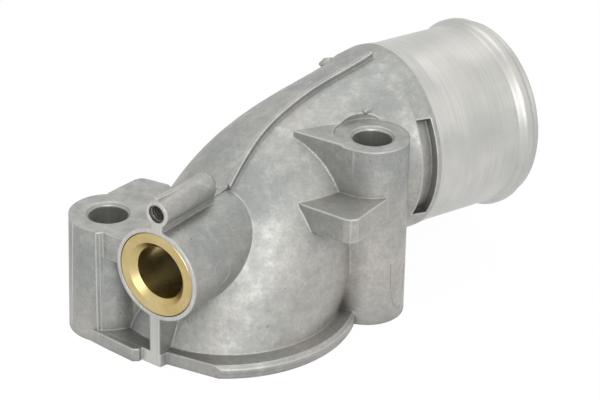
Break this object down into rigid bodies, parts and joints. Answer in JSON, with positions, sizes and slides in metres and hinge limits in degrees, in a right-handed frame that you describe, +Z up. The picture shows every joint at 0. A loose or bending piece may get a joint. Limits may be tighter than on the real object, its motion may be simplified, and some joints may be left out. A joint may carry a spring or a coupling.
{
  "type": "coolant connector",
  "caption": "Cast aluminium coolant elbow with a round flange, bolt bosses, hose spigot and a brass-bushed sensor port.",
  "frame": {"origin": "centre of the inlet bore on the flat mounting face", "axes": "+X along the hose spigot axis, out of the spigot; +Z up from the mounting face, along the bolt holes"},
  "size_m": [0.1128, 0.0628, 0.0543],
  "materials": {
    "cast_aluminium": "as cast, machined at the faces",
    "brass": "turned"
  },
  "bodies": {
    "root": {"housing": "cast_aluminium", "brass_bush": "brass"}
  },
  "joints": []
}
